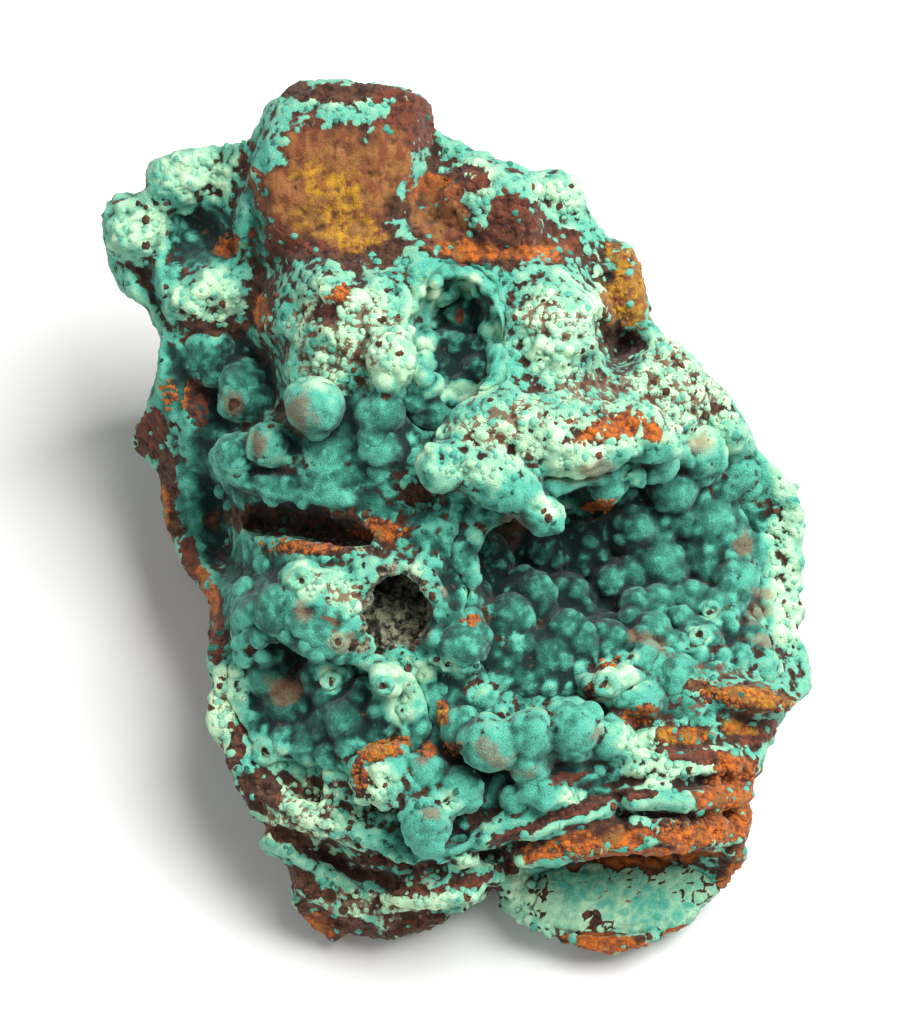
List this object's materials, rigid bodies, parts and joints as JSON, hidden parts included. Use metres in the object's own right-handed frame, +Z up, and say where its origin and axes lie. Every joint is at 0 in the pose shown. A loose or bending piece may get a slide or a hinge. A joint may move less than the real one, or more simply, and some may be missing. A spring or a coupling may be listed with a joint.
{
  "type": "rosasite mineral specimen",
  "caption": "Hand specimen of rosasite: velvety blue-green balls lining the hollows of a rough lump of rusty iron-oxide rock, with a chalky pale crust and a flat broken base.",
  "frame": {"origin": "on the flat broken base, straight below the middle of the face that carries the hollows", "axes": "+Z up out of the base, +Y towards the raised back of the specimen, where the ochre boss stands, and +X to the right of a viewer who faces the hollows"},
  "size_m": [0.0755, 0.0808, 0.051],
  "materials": {
    "gossan": "rough, dull iron oxide with a chalky pale crust",
    "rosasite": "velvety and matt",
    "pale_rosasite": "granular and matt"
  },
  "bodies": {
    "root": {"gossan_matrix": "gossan", "main_hollow_crust": "rosasite", "upper_hollow_crust": "rosasite", "lower_hollow_crust": "rosasite", "shelf_crust": "pale_rosasite"}
  },
  "joints": []
}
